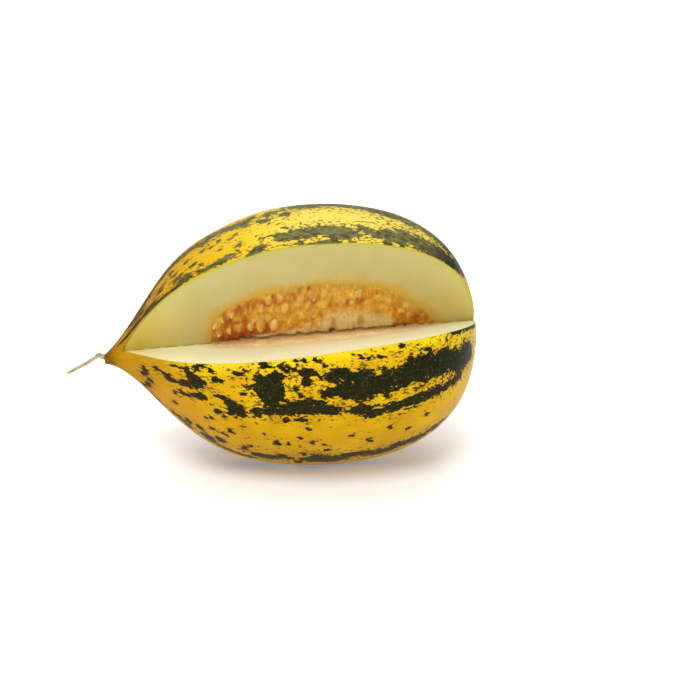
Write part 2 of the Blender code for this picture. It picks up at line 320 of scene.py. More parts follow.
class Finish:
    def __init__(self, name):
        self.material = bpy.data.materials.new(name)
        self.material.use_nodes = True
        self.tree = self.material.node_tree
        self.shader = self.tree.nodes["Principled BSDF"]

    def add(self, kind, settings=None, inputs=None, output=0):
        node = self.tree.nodes.new(kind)
        for key, value in (settings or {}).items():
            if key == "stops":
                self.setStops(node.color_ramp, value)
            else:
                setattr(node, key, value)
        for key, value in (inputs or {}).items():
            self.feed(node.inputs[key], value)
        return Wire(self, node.outputs[output])

    def setStops(self, ramp, stops):
        while len(ramp.elements) < len(stops):
            ramp.elements.new(0.5)
        for element, (place, colour) in zip(ramp.elements, stops):
            element.position = place
            element.color = (*colour, 1)

    def feed(self, socket, value):
        if isinstance(value, Wire):
            self.tree.links.new(value.socket, socket)
        elif isinstance(value, tuple) and len(value) == 3 and socket.type == "RGBA":
            socket.default_value = (*value, 1)
        else:
            socket.default_value = value

    def layer(self, name):
        return self.add("ShaderNodeAttribute", {"attribute_name": name}, output=2)

    def layers(self, *names):
        return [self.layer(name) for name in names]

    def layerVector(self, name):
        return self.add("ShaderNodeAttribute", {"attribute_name": name}, output=1)

    def part(self, vector, axis):
        return self.add("ShaderNodeSeparateXYZ", None, {0: vector}, output=axis)

    def places(self):
        return self.add("ShaderNodeTexCoord", output=3)

    def stretched(self, vector, scale):
        return self.add("ShaderNodeVectorMath", {"operation": "MULTIPLY"}, {0: vector, 1: scale})

    def cloud(self, vector, scale, detail=3.0, roughness=0.55, distortion=0.0):
        inputs = {"Vector": vector, "Scale": scale, "Detail": detail}
        inputs.update({"Roughness": roughness, "Distortion": distortion})
        return self.add("ShaderNodeTexNoise", None, inputs)

    def step(self, value, low, high):
        settings = {"interpolation_type": "SMOOTHSTEP"}
        return self.add("ShaderNodeMapRange", settings, {"Value": value, "From Min": low, "From Max": high})

    def blend(self, mask, base, top):
        return self.add("ShaderNodeMix", {"data_type": "RGBA"}, {0: mask, 6: base, 7: top}, output=2)

    def ramp(self, value, stops):
        return self.add("ShaderNodeValToRGB", {"stops": stops}, {"Fac": value})

    def bump(self, height, distance, strength=1.0, below=None):
        inputs = {"Height": height, "Distance": distance, "Strength": strength}
        if below:
            inputs["Normal"] = below
        return self.add("ShaderNodeBump", None, inputs)

    def set(self, **inputs):
        for key, value in inputs.items():
            self.feed(self.shader.inputs[key.replace("_", " ")], value)
        return self.material


# The rind: dark blotches in bands along the fruit on a yellow ground

rind = {
    "thickness": 1.2,
    "steps": (46, 64, 96),
    "sides": 320,
    "liningSteps": (20, 24, 34),
    "liningSides": 120,
    "dents": ((0.35, 26), (0.1, 7)),  # depth, size
    "scar": (4.5, 0.8),  # half-width, depth of the mark left by the flower
    "draw": 11,
    "markTurn": -0.6,
    "scarReach": 7,  # of the brown stain round it
    "dome": (180, 228),  # stations between which the grain comes to follow the round end
    "rimReach": 6,  # of the lemon band under the lower knife face
}

# Each mark is a station, a bearing, a half-length in millimetres and a half-width in degrees
marks = {
    "crest": (
        (21, 79, 9, 3.4), (34, 84, 8, 3), (47, 86, 8, 3), (57, 85, 6, 3), (65, 81, 4, 2.2),
        (75, 87, 8, 3.4), (83, 82.5, 5, 2), (91, 81, 2.2, 3.2), (94, 86, 4, 3), (103.5, 77.5, 3.6, 2.2),
        (108, 86, 5, 3), (117, 80.5, 3, 3.4), (128, 92, 10, 6), (145, 94, 9, 5), (157, 93, 7, 4.6),
        (170, 90, 8, 4.6), (183, 87, 9, 4.6), (195, 85, 9, 4.4), (207, 84, 7, 4), (215, 81, 6, 3.6),
        (223, 78, 5, 4),
    ),
    "crestSpots": (
        (44, 74, 1.6, 1.8), (38, 68.6, 2.4, 1.3), (35.6, 65, 2.2, 1.3), (46, 67, 1.8, 1.1),
        (57.5, 64, 1.9, 1.4), (62.7, 60.6, 1.1, 1), (64, 72.5, 1.6, 1.5), (69.5, 72, 1.5, 1.2),
        (54, 71.5, 2.2, 1.2), (75, 75, 1.1, 1), (75, 66, 1.4, 0.8), (81, 71.5, 1.5, 0.8),
        (85, 74, 1.8, 0.9), (87, 64, 2.2, 1), (101.5, 63.5, 1.2, 1), (98.5, 66, 0.8, 0.9),
    ),
    "upperRim": (
        (13, 53, 4, 4), (18.5, 56.5, 4, 3), (24.5, 57.4, 4, 2.6), (30, 59, 4, 3.4), (34, 54.4, 4, 1.2),
        (40, 54.2, 4, 1.1), (46, 54, 4, 1), (48, 61, 3.4, 2), (52.4, 57.4, 3.6, 2), (56, 56, 2.4, 1.2),
        (66, 56.3, 5, 1), (74, 57, 3.2, 1.1), (80, 58.4, 4.6, 1.6), (93, 55.6, 3, 0.8),
        (99, 59.2, 3.4, 1.5), (97, 56.6, 3.6, 1), (112.5, 62, 4.2, 2.8), (115, 68.4, 1.2, 0.8),
        (118.6, 67, 0.9, 1.3), (124.5, 63.6, 5, 2.3), (130, 62, 4, 1.8), (122, 60.4, 3, 1.3),
        (123.6, 57, 3, 0.9), (133, 56.5, 6, 0.7), (144, 56.5, 6, 0.7), (138, 64.4, 6, 2.6),
        (147, 63.4, 7, 3), (155, 62.4, 5, 2.4), (150, 60, 7, 1.4), (163, 66.4, 2.6, 1.7),
        (168, 64, 3, 1.5), (174, 62.4, 4, 1.8), (181, 64, 5, 3), (190, 65.4, 7, 3.8), (200, 64, 7, 4.6),
        (211, 64, 8, 5), (220, 64, 6, 5), (227, 69, 3, 5), (179, 58, 3, 1), (189, 58.6, 2, 0.9),
    ),
    "lowerRim": (
        (58, 1.8, 2.6, 1.3), (61, 3, 2.2, 1.1), (66, 1.6, 2, 1), (43.5, 0.2, 2.2, 0.9),
        (47.5, -0.4, 1.8, 0.8), (81.5, 1, 2.6, 1.1), (86.3, 2.5, 1.8, 1.2), (98.6, 5, 2.4, 1.4),
        (109, 3.9, 2, 1.5), (111.6, 2.2, 1.5, 1), (105.5, 1.4, 1.5, 0.7), (115.4, 2.6, 2, 0.8),
        (118, 6.1, 1.5, 0.9), (123, 6.2, 1.4, 0.6), (123.4, 1.2, 3.5, 2.1), (128, 0.8, 2.4, 1.3),
        (129, 6.6, 1.5, 0.9), (132.5, 5.6, 1.2, 0.7), (136, 4, 1.5, 0.8), (157.4, 6.8, 1.6, 0.9),
        (161, 6, 1.2, 0.6), (163.4, 7.4, 0.8, 0.8), (169.6, 6.3, 2.6, 0.8), (182.6, 10.3, 2.6, 0.8),
        (200, 7.2, 1.6, 0.8), (195, 8, 0.9, 0.6), (218, 15.4, 4, 1.8), (226, 17.6, 4, 2.4),
        (232, 19.6, 4, 3),
    ),
    "main": (
        (32, -6.6, 2, 1.9), (37.5, -9, 1.8, 1.4), (40, -12, 2.6, 2.6), (45, -12.2, 4, 1.4),
        (50.5, -10.6, 4, 1.4), (52, -1.4, 1.6, 1.8), (54.6, -5, 3, 3.2), (60, -7, 3.4, 2.3),
        (56.5, -9, 4, 1.4), (68.2, -3.2, 1.9, 1), (72.6, -3.6, 1.8, 1.1), (86, -9, 2.2, 0.8),
        (99.6, -3.6, 7, 3.8), (95.6, -5.6, 3.4, 2.6), (104, -5, 4.6, 4.4), (103, -11, 4, 4.6),
        (118, -6.2, 1.5, 1), (120.6, -9, 1.4, 1), (139, -1.2, 4.4, 1.5), (144, 1.4, 3.4, 1.1),
        (149, -1, 5.4, 2.1), (155.4, -2.5, 4.6, 2), (160, 0, 3, 1.2), (143, -7, 6.4, 1.7),
        (136, -8.8, 4, 1.3), (150, -8, 6, 2.7), (157, -9, 6, 3.2), (163, -6, 6, 4.4), (172, -6, 7, 4),
        (180, -4, 8, 3.6), (172.6, 0.2, 1.9, 1.3), (190, -3, 9, 4.6), (189, 2.5, 2.4, 1.2),
        (196.4, 2.2, 3, 1.3), (200, -2, 9, 5), (206, 2.4, 4, 2.2), (212, 2.6, 4, 2), (210, -2, 8, 5),
        (219, -2, 6, 5), (227, -1, 3, 6), (222, -9, 4, 3.5), (229, -6, 3, 5), (123.6, -3, 2.6, 1.7),
    ),
    "second": (
        (43.4, -22.4, 1.3, 1.6), (47.4, -20.6, 1.8, 0.9), (51.4, -19.4, 2.6, 1.2), (56.4, -17.6, 3, 1.3),
        (61, -16, 2.8, 1.7), (69.6, -22.4, 2.3, 2), (73, -24.4, 1.1, 0.9), (72, -12.5, 4.2, 0.9),
        (76.4, -14.6, 2.6, 1.7), (80.6, -16, 3.6, 1.7), (81, -18.8, 4.6, 1.9), (84.4, -20.6, 4.4, 1.7),
        (78, -21.6, 1.6, 1), (93, -18, 3.6, 1.4), (95, -20.8, 2, 1.2), (101, -18, 4, 1.1),
        (108, -17.4, 4.4, 1.4), (115, -15.4, 6, 2.7), (122.6, -15.4, 6, 2.8), (128.6, -13.6, 6, 1.9),
        (135, -15.6, 5, 1.8), (133, -17.6, 6.4, 1.1), (141.4, -17, 4, 1.6), (111.2, -22, 1.9, 1.4),
        (120.6, -21.6, 2.4, 1.3), (155, -17.6, 6, 2.2), (166, -20, 7, 2.6), (179, -18.6, 6, 2.2),
        (193, -18, 8, 2.8), (207, -17, 7, 2.6), (219, -17, 4, 3),
    ),
    "lowSpots": (
        (62.2, -31.4, 1.9, 1.4), (65.2, -29.4, 1.5, 1), (76.6, -34.4, 1.3, 1.3), (79, -36, 1.7, 1),
        (85.5, -29.4, 1.1, 0.9), (66, -38.8, 2.1, 1.2), (73.4, -39.4, 2, 0.9), (43, -33.4, 1.8, 1.3),
        (105.6, -38.4, 1.9, 2.4), (113, -38.6, 1.3, 1), (120, -33, 1.8, 1.2), (119.6, -40, 1.2, 0.9),
        (122, -47.4, 1.8, 1.5), (125.6, -27.4, 1.1, 1), (131.6, -34.8, 0.9, 0.8), (128, -37, 1.1, 1.6),
        (135.6, -38.8, 1.3, 0.8), (137, -43.4, 1.2, 1), (98.4, -32.4, 0.8, 1.3), (89, -45, 1.2, 1.1),
        (58, -45.4, 2.2, 2.2), (51, -46.4, 2, 2), (152, -33, 1.6, 1.2), (163, -38, 1.8, 1.4),
        (176, -32, 1.4, 1.2), (188, -37, 1.8, 1.2), (200, -31, 1.6, 1.4),
    ),
    "third": (
        (43, -52, 3, 3), (50, -55, 3, 3.4), (62, -52.6, 3.6, 2.6), (65, -56, 3, 2.4), (70.4, -48, 3, 2.2),
        (85.6, -49, 2.3, 2.1), (93, -53.6, 3.6, 2.4), (99.4, -55, 4, 2.8), (103.6, -54, 2.2, 2.8),
        (109, -52, 1.7, 3.2), (113, -53.6, 2.2, 2.3), (119.4, -59.4, 2, 3.2), (130, -49, 3, 2.2),
        (127, -53.4, 4, 2.7), (135, -52.4, 5, 3), (142, -54, 5, 3.6), (149.4, -53, 3.4, 3),
        (133, -57, 8, 2.6), (160, -52, 6, 3), (172, -55, 7, 3.4), (184, -52, 6, 3), (196, -54, 7, 3.6),
        (208, -53, 6, 3), (85, -61, 10, 2), (72, -59, 5, 1.8),
    ),
    "neck": (
        (25, -17, 1.8, 4), (23.4, -22.4, 1.3, 3), (28, -27, 1.8, 2.4), (26.4, -36, 1.8, 4), (24, -9, 1, 2),
        (24, -46, 1.6, 5), (32, -56, 3, 3), (22, 70, 4, 3),
    ),
}

# Behind and beneath, where no photo reaches, the same kind of bands go on by a rule
hiddenBands = {
    "bearings": (107, 128, 149, 171, 193, 215, 237, 258, 279),
    "firstStation": 24,
    "lastStation": 228,
    "halfLength": (3, 8.5),
    "halfWidth": (1.6, 4.2),
    "wander": 3.4,
    "rest": (2, 11),
    "spots": 110,
    "spotStations": (30, 222),
    "spotBearings": (96, 296),
    "spotHalves": ((0.8, 2), (0.6, 1.5)),
}


def hiddenMarks():
    draw = random.Random(rind["draw"])
    found = []
    for bearing in hiddenBands["bearings"]:
        station = hiddenBands["firstStation"] + draw.uniform(0, 20)
        while station < hiddenBands["lastStation"]:
            girth = math.sin(math.pi * min(1, station / fruit["length"] + 0.08)) ** 0.5
            halfLength = draw.uniform(*hiddenBands["halfLength"]) * girth
            halfWidth = draw.uniform(*hiddenBands["halfWidth"]) * girth
            wander = draw.gauss(0, hiddenBands["wander"] / 2)
            found.append((station, bearing + wander, halfLength, halfWidth))
            side = draw.choice((-1, 1)) * halfWidth * 1.3
            beside = bearing + wander + side
            found.append((station + draw.uniform(-4, 4), beside, halfLength * 0.5, halfWidth * 0.6))
            station += halfLength * 1.1 + draw.uniform(*hiddenBands["rest"]) * draw.choice((0.3, 1))
    spotRanges = (hiddenBands["spotStations"], hiddenBands["spotBearings"], *hiddenBands["spotHalves"])
    for spot in range(hiddenBands["spots"]):
        found.append(tuple(draw.uniform(*ends) for ends in spotRanges))
    return found


def skinBody(steps, sides, depth):
    bm = turned(fruitOutline(steps), sides, skinPlace)
    bm.normal_update()
    scarWidth, scarDepth = rind["scar"]
    for vert in bm.verts:
        sink = depth
        for dent, size in rind["dents"]:
            sink += dent * (0.5 + 0.5 * noise.noise(vert.co / size))
        fromPole = math.hypot(vert.co.y, vert.co.z) / scarWidth
        if vert.co.x > 0:
            sink += scarDepth * math.exp(-(fromPole**2))
        vert.co -= vert.normal * sink
    settle(bm)
    for vert in bm.verts:
        vert.co.z = max(vert.co.z, depth * mm)
    return bm


def wedgeBody(lengthwise, across, first, last, fineReach, heights=None):
    # two knife faces on one grid folded along the apex, closed at its far edge and ends
    bm = bmesh.new()
    bmesh.ops.create_grid(bm, x_segments=lengthwise, y_segments=across, size=1)
    far = [edge for edge in bm.edges if all(abs(vert.co.y) > 0.999 for vert in edge.verts)]
    side = np.array([vert.co.y for vert in bm.verts])
    station = first + (last - first) * (np.array([vert.co.x for vert in bm.verts]) + 1) / 2
    reach = np.where(np.abs(side) > 0.999, cut["reach"], np.abs(side) * fineReach)
    proud = heights(station, reach, side > 0) if heights else np.zeros_like(reach)
    for vert, s, r, upper, height in zip(bm.verts, station, reach, side > 0, proud):
        vert.co = cutPlace(s, r, upper, height)
    bmesh.ops.bridge_loops(bm, edges=far)
    bmesh.ops.holes_fill(bm, edges=[edge for edge in bm.edges if edge.is_boundary], sides=0)
    faceOutwards(bm)
    settle(bm)
    return bm


skinBm = skinBody(rind["steps"], rind["sides"], 0)
skinTree = BVHTree.FromBMesh(skinBm)
rindPiece = pieceFrom(skinBm, "rind")
lining = pieceFrom(skinBody(rind["liningSteps"], rind["liningSides"], rind["thickness"]), "lining")
fleshPiece = pieceFrom(skinBody(rind["liningSteps"], rind["liningSides"], rind["thickness"] + 0.06), "flesh")
start, end = -cut["overrun"], fruit["length"] + cut["overrun"]
knife = pieceFrom(wedgeBody(*cut["knifeSteps"], start, end, cut["knifeFineReach"]), "knife")
carve(rindPiece, lining)
carve(rindPiece, knife)
carve(fleshPiece, knife)
drop(lining)
print("skin and flesh cut")

hollowBm = turned(hollowOutline(hollow["steps"]), hollow["sides"], hollowPlace)
settle(hollowBm)
hollowTree = BVHTree.FromBMesh(hollowBm)
pulpPiece = pieceFrom(hollowBm, "seedPulp")
carve(fleshPiece, pulpPiece)
drop(knife)
print("hollow carved")


def depthUnder(mesh, tree):
    return np.array([tree.find_nearest(vert.co)[3] for vert in mesh.vertices]) / mm


def paintRind(mesh):
    station, bearing = stationsAndBearings(grownPoints(mesh))
    degrees = np.degrees(bearing)
    everyMark = [mark for group in marks.values() for mark in group] + hiddenMarks()
    points = grownPoints(mesh)
    fromAxis = np.hypot(points[:, 1], points[:, 2])
    domed = smoothStep(*rind["dome"], station)
    radius = fruit["roundArc"][0][1] * (1 - domed) + fromAxis * domed
    grain = np.stack([station, radius * np.cos(bearing), radius * np.sin(bearing)], axis=1)
    paint(mesh, "scar", np.exp(-((fromAxis / rind["scarReach"]) ** 2)) * domed)
    paint(mesh, "grain", grain)
    degrees -= rind["markTurn"]
    paint(mesh, "dark", softPatch(station, degrees, everyMark))
    paint(mesh, "haze", softPatch(station, degrees, everyMark, 2.1))
    straight = points[:, 0] + fruit["length"] / 2
    across, rise = apexAt(straight)
    lower = cutBearing(straight, False)
    below = (points[:, 1] - across) * np.sin(lower) + (points[:, 2] - rise) * np.cos(lower)
    paint(mesh, "lowerRim", np.exp(-((below / rind["rimReach"]) ** 2)) * (np.cos(bearing) > 0))
    paint(mesh, "depth", depthUnder(mesh, skinTree))


def rindFinish():
    finish = Finish("waxy mottled rind")
    grain = finish.layerVector("grain")
    station, rise = finish.part(grain, 0), finish.part(grain, 2)
    dark, haze, depth, lowerRim = finish.layers("dark", "haze", "depth", "lowerRim")
    scar = finish.step(finish.layer("scar") + (finish.cloud(grain, 0.5, 3, 0.6) - 0.5) * 0.7, 0.3, 0.7)
    drawn = finish.stretched(grain, (0.62, 1, 1))
    ragged = finish.cloud(drawn, 0.27, 4, 0.6, 0.5)
    fine = finish.cloud(drawn, 0.62, 3, 0.55, 0.3)
    patchy = finish.cloud(grain, 0.055, 3, 0.5)
    lengthwise = finish.stretched(grain, (0.16, 1, 1))
    strand = finish.cloud(lengthwise, 0.42, 3, 0.6)

    # yellow ground, golden towards the neck and greener in places, with painted sheen on top and painted
    # shade underneath
    yellow = finish.ramp(
        patchy, ((0.3, (0.65, 0.33, 0.002)), (0.5, (0.75, 0.43, 0.002)), (0.72, (0.78, 0.50, 0.003)))
    )
    yellow = finish.blend(finish.step(strand, 0.45, 0.75) * 0.2, yellow, (0.86, 0.60, 0.02))
    mottle = finish.cloud(drawn, 0.16, 4, 0.65)
    yellow = finish.blend(finish.step(mottle, 0.52, 0.68) * 0.4, yellow, (0.80, 0.36, 0.008))
    yellow = finish.blend((1 - finish.step(mottle, 0.34, 0.48)) * 0.35, yellow, (0.60, 0.44, 0.004))
    # painted sheen: the yellow turns paler and more lemon on the top-facing band, partly the top's own lemon
    # tone, and paler still towards the round end
    crownSheen = finish.step(rise, 60, 80)
    yellow = finish.blend(crownSheen * 0.6, yellow, (0.83, 0.60, 0.025))
    yellow = finish.blend(crownSheen * finish.step(station, 80, 140) * 0.7, yellow, (0.82, 0.66, 0.13))
    # painted shade: the underside turns darker orange, partly the ground spot's own tone
    belly = 1 - finish.step(rise + (patchy - 0.5) * 60, -75, 5)
    yellow = finish.blend(belly * 0.85, yellow, (0.51, 0.27, 0.002))
    neck = 1 - finish.step(station, 18, 78)
    golden = 1 - finish.step(station, 25, 115)
    yellow = finish.blend(golden * 0.8, yellow, (0.58, 0.265, 0.002))
    lemon = lowerRim * (0.3 + 0.8 * patchy) * finish.step(station, 34, 64)
    yellow = finish.blend(lemon, yellow, (0.86, 0.70, 0.01))
    tip = 1 - finish.step(station, 1, 9)
    yellow = finish.blend(tip * 0.8, yellow, (0.22, 0.115, 0.008))
    yellow = finish.blend(scar * 0.85, yellow, (0.30, 0.17, 0.045))

    # ragged dark blotches, with freckles round them
    edge = dark * 1.15 + haze * 0.14 + (ragged - 0.5) * 2.2 + (fine - 0.5) * 1.5
    fleck = finish.step(finish.cloud(drawn, 0.5, 3, 0.6), 0.63, 0.7)
    blotch = finish.step(edge - fleck * 0.45, 0.46, 0.6)
    freckle = finish.step(fine + haze * 0.22 + (ragged - 0.5) * 0.5, 0.7, 0.78)
    freckle = freckle * finish.step(haze, 0.08, 0.35)
    streak = finish.step(strand + neck * 0.14, 0.63, 0.74) * neck * finish.step(station, 12, 26)
    halo = finish.step(edge, 0.3, 0.52)
    ground = finish.blend(halo * 0.4, yellow, (0.40, 0.26, 0.008))
    ground = finish.blend(streak * (0.3 + 0.5 * finish.step(rise, 0, 30)), ground, (0.16, 0.07, 0.006))
    deep = finish.ramp(
        finish.cloud(grain, 0.6, 4, 0.65),
        ((0.3, (0.006, 0.008, 0.002)), (0.55, (0.014, 0.016, 0.003)), (0.75, (0.085, 0.085, 0.022))),
    )
    deep = finish.blend(1 - finish.step(edge, 0.5, 0.85), deep, (0.045, 0.016, 0.005))
    # painted sheen: on the top-facing band the dark marks turn lighter and greyer, in patches
    sheenPatches = finish.step(finish.cloud(drawn, 0.3, 3, 0.6), 0.36, 0.62)
    paintedSheen = finish.step(rise, 50, 80) * (0.35 + 0.65 * sheenPatches)
    deep = finish.blend(paintedSheen, deep, (0.185, 0.17, 0.06))
    # the same underside mask turns the dark marks browner
    deep = finish.blend(belly * 0.6, deep, (0.045, 0.024, 0.004))
    deep = finish.blend(neck * 0.8, deep, (0.055, 0.022, 0.004))
    colour = finish.blend(blotch, ground, deep)
    colour = finish.blend(freckle * (1 - blotch) * 0.85, colour, (0.10, 0.075, 0.012))

    # the cut edge shows the layer under the skin, green behind the dark blotches
    inward = depth / rind["thickness"]
    edgeTone = finish.blend(finish.step(dark, 0.3, 0.8), (0.60, 0.48, 0.02), (0.14, 0.17, 0.012))
    edgeTone = finish.blend(finish.step(inward, 0.1, 1), edgeTone, (0.62, 0.56, 0.11))
    edgeTone = finish.blend((1 - finish.step(station, 10, 60)) * 0.8, edgeTone, (0.36, 0.24, 0.02))
    colour = finish.blend(finish.step(depth, 0.05, 0.2), colour, edgeTone)
    wrinkle = finish.cloud(lengthwise, 0.9, 2, 0.5)
    relief = finish.bump(wrinkle * (neck + 0.06), 0.8 * mm)
    relief = finish.bump(finish.cloud(grain, 0.8, 4, 0.6), 0.14 * mm, 1.0, relief)
    roughness = 0.36 + (fine - 0.5) * 0.12 + neck * 0.14
    return finish.set(Base_Color=colour, Roughness=roughness, Normal=relief, Specular_IOR_Level=0.04)


paintRind(rindPiece.data)
print("rind painted")

# The border of flesh and pulp: ragged and soft, with both sides of it coloured alike
# Each colour is given on the lower face, then on the upper one; the upper ones are darker, and for the pale
# flesh that is painted shade, as the upper face looks down

border = {
    "raggedness": (12, 12),  # of its fibres, of its slow drift
    "inside": (-7, 0),  # past the border by this much, the inner colour turns golden
    "outside": (0, 8),  # and golden turns to the outer one
    "orange": ((0.93, 0.80, 0.45), (0.78, 0.36, 0.012)),
    "golden": ((0.88, 0.74, 0.42), (0.70, 0.43, 0.06)),
    "pale": ((0.92, 0.88, 0.60), (0.62, 0.52, 0.20)),
}


def softBorder(finish, place, upper, beyond, inner, outer):
    streaks, drift = border["raggedness"]
    patchy = finish.cloud(place, 0.045, 3, 0.5)
    fibres = finish.cloud(finish.stretched(place, (1, 0.16, 1)), 0.75, 3, 0.55)
    beyond = beyond + (fibres - 0.5) * streaks + (patchy - 0.5) * drift
    golden = finish.blend(upper, *border["golden"])
    colour = finish.blend(finish.step(beyond, *border["inside"]), inner, golden)
    return finish.blend(finish.step(beyond, *border["outside"]), colour, outer)


def paintCutPlaces(mesh):
    # station, reach from the apex and turn about it, and which points belong to the upper face
    points = grownPoints(mesh)
    station = points[:, 0] + fruit["length"] / 2
    across, rise = apexAt(station)
    outAcross, outRise = across - points[:, 1], points[:, 2] - rise
    reach = np.hypot(outAcross, outRise)
    angle = np.arctan2(outRise, outAcross)
    upper = angle > (cutBearing(station, True) + cutBearing(station, False)) / 2
    paintAll(mesh, cutPlace=np.stack([station, reach, angle * 60], axis=1), upper=upper.astype(float))
    return station, reach, upper


# The flesh: pale, greener under the skin and golden beside the seeds; on the upper knife face its colours
# are darker copies, which is painted shade

flesh = {"glow": 0.35, "glowReach": (0.006, 0.005, 0.0025)}


def paintFlesh(mesh):
    paintCutPlaces(mesh)
    paintAll(mesh, depth=depthUnder(mesh, skinTree), fromPulp=depthUnder(mesh, hollowTree))


def fleshFinish():
    finish = Finish("moist pale flesh")
    place = finish.layerVector("cutPlace")
    station = finish.part(place, 0)
    depth, fromPulp, upper = finish.layers("depth", "fromPulp", "upper")
    patchy = finish.cloud(place, 0.045, 3, 0.5)
    grainy = finish.cloud(place, 0.9, 3, 0.6)
    fibres = finish.cloud(finish.stretched(place, (1, 0.16, 1)), 0.75, 3, 0.55)

    pale = finish.blend(finish.step(patchy, 0.35, 0.68), (0.90, 0.86, 0.55), (0.93, 0.90, 0.64))
    # painted shade: the upper knife face takes a darker copy of the pale flesh, as it looks down
    shaded = finish.blend(finish.step(patchy, 0.3, 0.7), (0.58, 0.495, 0.18), (0.61, 0.53, 0.225))
    pale = finish.blend(upper, pale, shaded)
    pale = finish.blend((fibres - 0.5) * 0.3 + 0.06, pale, (0.70, 0.60, 0.26))
    ends = 1 - finish.step(station, 16, 66) + finish.step(station, 196, 232) * 0.7
    pale = finish.blend(ends * (0.25 + 0.3 * upper), pale, (0.72, 0.55, 0.08))
    tipward = 1 - finish.step(station, 12, 44)
    pale = finish.blend(tipward * (0.25 + 0.72 * upper), pale, (0.54, 0.38, 0.022))
    green = 1 - finish.step(depth, 0.6, 2.6 + 3.4 * upper)
    # painted shade: the green under the skin also gets a darker copy on the upper face
    rimTone = finish.blend(upper, (0.86, 0.82, 0.24), (0.60, 0.54, 0.09))
    pale = finish.blend(green * (0.6 - 0.45 * tipward), pale, rimTone)
    pale = softBorder(finish, place, upper, fromPulp, finish.blend(upper, *border["orange"]), pale)
    relief = finish.bump(fibres, 0.25 * mm, 0.7)
    relief = finish.bump(grainy, 0.12 * mm, 0.6, relief)
    return finish.set(
        Base_Color=pale,
        Roughness=0.40 + (grainy - 0.5) * 0.16,
        Normal=relief,
        Subsurface_Weight=flesh["glow"],
        Subsurface_Radius=flesh["glowReach"],
        Subsurface_Scale=1.0,
    )


paintFlesh(fleshPiece.data)
print("flesh painted")

# The seed pulp: a wet orange mass of cells, each with its seed, and pale lobes by the apex

pulp = {
    "creviceDepth": 3.2,
    "creviceWidth": 1.5,
    "creviceEnds": (74, 84, 192, 204),
    "swell": (1.1, 24),
    "swellBend": (2.2, 4),
    "secondSwell": (0.6, 1.7),
    "swellRise": 15,
    "mound": 1.1,
    "edgeFade": 2.5,
    "strand": (1.5, (2.6, 9)),  # height, width and length of its soft strands
    "creaseDepth": 2.2,
    "foldDepth": 0.7,
    "scoopSteps": (250, 186),
    "scoopSpan": (58, 226, 62),  # first and last station, reach of its fine steps
}

# Each patch is a station, a reach, a half-length and a half-width on the upper knife face
pulpPatches = {
    "pale": (
        (144, 5, 7, 9), (153, 8, 8, 10), (169, 6, 8, 9), (180, 5, 5, 6), (122, 3, 10, 4), (100, 2, 8, 2.5),
    ),
    "deep": (
        (70, 12, 9, 9), (80, 9, 10, 9), (90, 7, 9, 7), (99, 9, 8, 7), (76, 22, 7, 4), (88, 30, 7, 3.5),
        (105, 33, 8, 4), (118, 37, 8, 4), (131, 33, 5, 4), (201, 10, 8, 3.5), (158, 28, 7, 3.5),
    ),
    "creases": (
        (145.6, 1, 2.6, 4), (94, 1, 3, 2), (112, 1, 3, 1.6), (124, 1, 2.2, 2.4),
    ),
    "folds": (
        (146.2, 7, 2, 8), (164, 10, 2.4, 7), (133, 16, 1.4, 6),
    ),
    "pockets": (
        (91.4, 31, 1, 2), (106.5, 37, 1.1, 2.4), (123.8, 42, 1.5, 3.4), (129.8, 43, 1.2, 2.6),
        (86.2, 30, 0.8, 1.6), (173.4, 33.6, 0.9, 1.8),
    ),
}

seeds = {
    "length": 11,
    "width": 5.8,
    "thickness": 3.3,
    "pitch": 7.4,
    "rowPitch": 8.4,
    "firstRow": 11,
    "rows": 5,
    "sunk": (-1.6, -0.5),  # how far the middles of most seeds stand over the pulp
    "proud": -0.1,
    "margin": 1.2,
    "headroom": 4,  # added to a seed's reach when it looks for room under the wall
    "apart": 5.6,
    "stray": (1.4, 1.6),
    "turn": 0.6,
    "lean": 0.22,
    "draw": 7,
}

# Seeds that stand out, by upper face or not: each is a station, a reach, a turn, a lean and a size
namedSeeds = {
    True: (
        (98.8, 12.5, 0.05, 0.1, 1), (107.6, 12.2, -0.15, 0.1, 0.95), (78.2, 11.2, 0.35, 0.6, 0.75),
        (73, 9, -0.5, 0.6, 0.6), (73.6, 21.1, 0.9, 0.5, 0.6), (70.8, 16.5, -0.7, 0.5, 0.6),
        (80.1, 25, 0.3, 0.4, 0.6), (84.2, 20.4, -0.4, 0.3, 0.62), (128.5, 8.2, -0.75, 0.1, 0.95),
        (138.2, 28.1, 0.6, 0.3, 0.8), (159.5, 35.1, -1.1, 0.1, 1), (193.1, 20.9, -0.5, 0.2, 0.75),
        (190, 15, 0.9, 0.3, 0.5), (92.6, 12.6, 0.1, 0.3, 0.6), (117.5, 13, 0.25, 0.3, 0.7),
        (168.1, 23.2, 0.1, 0.3, 0.75), (173.4, 30, 0.3, 0.3, 0.5),
    ),
    False: (
        (79, 8, 0.9, 0.1, 0.7), (85.5, 11, -1.1, 0.2, 0.8), (87.6, 5.4, 0.4, 0.3, 0.6),
        (85, 20, 1.3, 0.1, 0.7), (99.6, 8, -0.9, 0.1, 0.75), (104, 21, 1.0, 0.1, 0.7),
        (110, 12, 0.5, 0.1, 0.6), (124, 16, -0.9, 0.1, 0.65), (143, 21, 1.1, 0.1, 0.6),
    ),
}


def swells(station, reach, upper):
    depth, pitch = pulp["swell"]
    bend, bendPitch = pulp["swellBend"]
    second, secondPitch = pulp["secondSwell"]
    phase = station / pitch * math.tau
    bending = bend * np.sin(reach / pitch * bendPitch)
    swell = np.sin(phase + bending) + second * np.sin(secondPitch * phase + 1)
    return depth * np.where(upper, 0.5, 0.2) * swell * np.minimum(1, reach / pulp["swellRise"])


